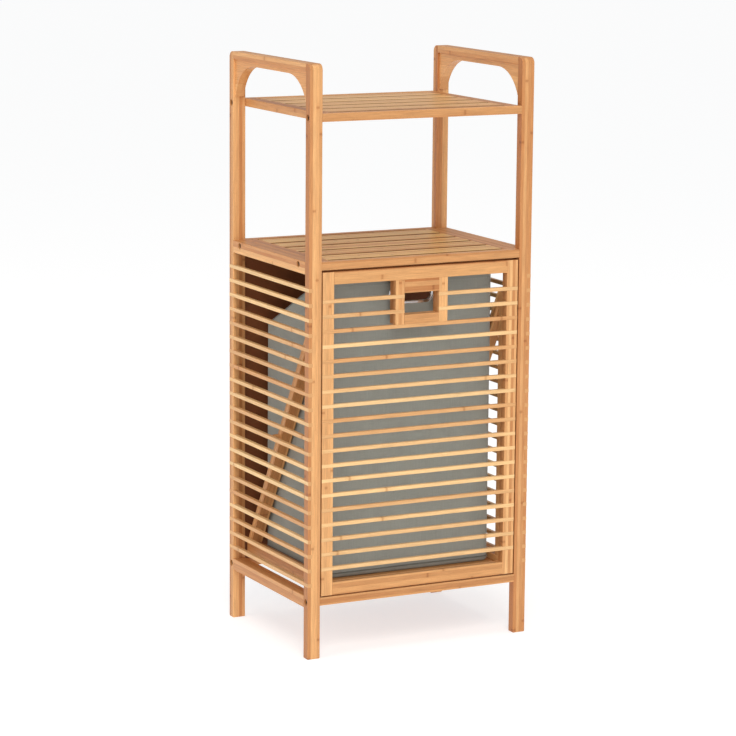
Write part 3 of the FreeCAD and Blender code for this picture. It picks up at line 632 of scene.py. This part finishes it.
def stadium(half_width, radius, steps):
    """Points of an oval with straight sides, in X and Z, with their outward directions."""
    points = []
    for centre, turn in ((half_width - radius, -90), (radius - half_width, 90)):
        for step in range(steps + 1):
            angle = math.radians(turn + 180 * step / steps)
            way = Vector((math.cos(angle), 0, math.sin(angle)))
            points.append((Vector((centre, 0, 0)) + way * radius, way))
    return points


def ring_sizes():
    low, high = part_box("bag_grip_ring")
    middle = (low + high) / 2
    return middle, (high.x - low.x) / 2, (high.z - low.z) / 2, (high.y - low.y) / 2


def cut_ring_hole(piece):
    """Cuts the oval hole that the ring is set in."""
    middle, half_width, half_height, depth = ring_sizes()
    band = RING_BAND / 2
    shape = bmesh.new()
    front, rear = [], []
    for spot, way in stadium(half_width - band, half_height - band, 16):
        front.append(shape.verts.new(middle + spot + Vector((0, -30 * MM, 0))))
        rear.append(shape.verts.new(middle + spot + Vector((0, 30 * MM, 0))))
    shape.faces.new(front)
    shape.faces.new(rear[::-1])
    for i in range(len(front)):
        j = (i + 1) % len(front)
        shape.faces.new((front[j], front[i], rear[i], rear[j]))
    cutter = bpy.data.objects.new("ring_hole_cutter", from_bmesh("ring_hole_cutter", shape))
    bpy.context.scene.collection.objects.link(cutter)
    hole = piece.modifiers.new("hole", "BOOLEAN")
    hole.operation = "DIFFERENCE"
    hole.solver = "EXACT"
    hole.object = cutter


def apply_modifiers(piece):
    """Turns a piece's modifiers into plain mesh, and removes any cutters that they used."""
    cutters = [m.object for m in piece.modifiers if m.type == "BOOLEAN"]
    bpy.context.view_layer.update()
    graph = bpy.context.evaluated_depsgraph_get()
    mesh = bpy.data.meshes.new_from_object(piece.evaluated_get(graph))
    piece.modifiers.clear()
    piece.data = mesh
    for cutter in cutters:
        bpy.data.objects.remove(cutter)


def tube(name, path, radius, material, sides=8):
    """A round cord swept along a closed loop of points, as a mesh that rides on the carriage."""
    shape = bmesh.new()
    rows = []
    count = len(path)
    for i, spot in enumerate(path):
        way = (path[(i + 1) % count] - path[i - 1]).normalized()
        side = way.cross(Vector((0, 0, 1)) if abs(way.z) < 0.9 else Vector((0, 1, 0))).normalized()
        up = side.cross(way)
        row = []
        for step in range(sides):
            angle = 2 * math.pi * step / sides
            row.append(shape.verts.new(spot + (side * math.cos(angle) + up * math.sin(angle)) * radius))
        rows.append(row)
    for below, above in zip(rows, rows[1:] + rows[:1]):
        for i in range(sides):
            j = (i + 1) % sides
            shape.faces.new((below[i], below[j], above[j], above[i]))
    return to_object(name, from_bmesh(name, shape), material, "carriage")


def bag_seams(bag, material):
    """Piping round the foot, and the binding of the mouth."""
    foot = [bag.point(spot, way, bag.low.z + SEAM_HEIGHT, 0.3 * MM) for spot, way in bag.plan]
    tube("bag_foot_piping", foot, 1.1 * MM, material)
    mouth = [bag.point(spot, way, bag.rim(spot.y), -CLOTH / 2) for spot, way in bag.plan]
    tube("bag_mouth_binding", mouth, 1.5 * MM, material)


def bag_stitches(bag, material):
    """A row of stitches along the lower edge of the mouth's hem."""
    shape = bmesh.new()
    line = [bag.point(spot, way, bag.rim(spot.y) - HEM_HEIGHT, 0.1 * MM) for spot, way in bag.plan]
    walk, stitch, space = 0.0, 3.2 * MM, 1.6 * MM
    for start, (spot, way), end in zip(line, bag.plan, line[1:] + line[:1]):
        run = (end - start).length
        along = (end - start).normalized()
        while walk < run:
            centre = start + along * walk
            turn = Matrix((along, way, along.cross(way))).transposed().to_4x4()
            size = Matrix.Diagonal((stitch / 2, 0.35 * MM, 0.4 * MM, 1))
            place = Matrix.Translation(centre) @ turn @ size
            bmesh.ops.create_icosphere(shape, subdivisions=1, radius=1, matrix=place)
            walk += stitch + space
        walk -= run
    to_object("bag_stitches", from_bmesh("bag_stitches", shape), material, "carriage")


def ring(material):
    """The oval grip ring, polished, with a groove along the middle of its band."""
    middle, half_width, half_height, half_depth = ring_sizes()
    band = RING_BAND / 2
    shape = bmesh.new()
    rows = []
    for spot, way in stadium(half_width - band, half_height - band, 20):
        row = []
        for step in range(RING_STEPS):
            angle = 2 * math.pi * step / RING_STEPS
            across = math.cos(angle)
            groove = 1 - 0.25 * math.exp(-((across / 0.33) ** 2))
            off = way * (band * across) + Vector((0, half_depth * math.sin(angle) * groove, 0))
            row.append(shape.verts.new(middle + spot + off))
        rows.append(row)
    for below, above in zip(rows, rows[1:] + rows[:1]):
        for i in range(RING_STEPS):
            j = (i + 1) % RING_STEPS
            shape.faces.new((below[i], below[j], above[j], above[i]))
    mesh = from_bmesh("grip_ring", shape)
    piece = to_object("grip_ring_polished", mesh, material, "carriage")
    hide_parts("bag_grip_ring")


def build_bag():
    bag = Bag()
    grey = cloth("bag_cloth", srgb(172, 176, 169), srgb(126, 130, 124))
    trim = cloth("bag_trim", srgb(128, 131, 125), srgb(88, 91, 87), thread=0.5)
    thread = cloth("bag_thread", srgb(192, 195, 188), srgb(156, 160, 153), thread=0.25)
    shell = bag_shell(bag, grey)
    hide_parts("laundry_bag")
    bag_seams(bag, trim)
    bag_stitches(bag, thread)
    ring(metal("ring_polished_steel", srgb(240, 241, 243), 0.12, 0.08))


# ---------------------------------------------------------------- stage


def camera():
    azimuth, elevation = math.radians(AZIMUTH), math.radians(ELEVATION)
    back = Vector((
        math.sin(azimuth) * math.cos(elevation),
        -math.cos(azimuth) * math.cos(elevation),
        math.sin(elevation),
    ))
    data = bpy.data.cameras.new("camera")
    data.lens = LENS
    data.sensor_width = 36.0
    data.clip_end = 60.0
    eye = bpy.data.objects.new("camera", data)
    bpy.context.scene.collection.objects.link(eye)
    eye.rotation_mode = "QUATERNION"
    eye.rotation_quaternion = back.to_track_quat("Z", "Y") @ Quaternion((0, 0, 1), math.radians(ROLL))
    eye.location = LOOK_AT + back * DISTANCE
    bpy.context.scene.camera = eye


def floor():
    mesh = bpy.data.meshes.new("floor")
    corners = [(FLOOR_HALF * x, FLOOR_HALF * y, 0) for x, y in ((-1, -1), (1, -1), (1, 1), (-1, 1))]
    mesh.from_pydata(corners, [], [(0, 1, 2, 3)])
    ground = bpy.data.objects.new("floor", mesh)
    bpy.context.scene.collection.objects.link(ground)
    material, t, shader, position, normal = new_material("floor_paper", Specular_IOR_Level=0.0)
    shader.inputs["Base Color"].default_value = (0.66, 0.60, 0.54, 1)
    shader.inputs["Roughness"].default_value = 0.9
    shader.inputs["Emission Color"].default_value = (0.50, 0.545, 0.59, 1)
    shader.inputs["Emission Strength"].default_value = 1.0
    mesh.materials.append(material)


def light(name, kind, place, look, energy, size):
    data = bpy.data.lights.new(name, kind)
    data.energy = energy
    if kind == "SUN":
        data.angle = math.radians(size)
    else:
        data.size = size
    lamp = bpy.data.objects.new(name, data)
    bpy.context.scene.collection.objects.link(lamp)
    lamp.location = place
    lamp.rotation_mode = "QUATERNION"
    lamp.rotation_quaternion = (Vector(place) - Vector(look)).to_track_quat("Z", "Y")


def lights():
    world = bpy.data.worlds.new("studio")
    bpy.context.scene.world = world
    world.use_nodes = True
    t = Tree(world.node_tree)
    sky = world.node_tree.nodes["Background"]
    seen = t.add("ShaderNodeLightPath").outputs["Is Camera Ray"]
    sky.inputs["Color"].default_value = (1, 1, 1, 1)
    t.feed(sky.inputs["Strength"], t.math("MULTIPLY_ADD", seen, 0.6, 0.5))
    light("key_sun", "SUN", (-1.4, -3.0, 3.6), (0, 0, 0.4), 0.9, 22)
    light("front_softbox", "AREA", (-0.6, -3.2, 1.2), (0, 0, 0.5), 26, 2.2)
    light("side_softbox", "AREA", (-3.2, -0.6, 1.4), (0, 0, 0.5), 24, 2.0)
    light("overhead_softbox", "AREA", (0, -0.2, 3.6), (0, 0, 0.5), 26, 2.0)
    bpy.context.scene.view_settings.view_transform = "Standard"


def main():
    camera()
    floor()
    lights()
    dress_boards()
    dress("back_panel", hardboard("back_panel_sheet"))
    bolt = metal("bolt_dark_zinc", srgb(110, 104, 98), 0.35, 0.2)
    for node in ("frame_bolts_left", "frame_bolts_right", "pivot_pin_left", "pivot_pin_right"):
        dress(node, bolt)
    build_bag()


main()
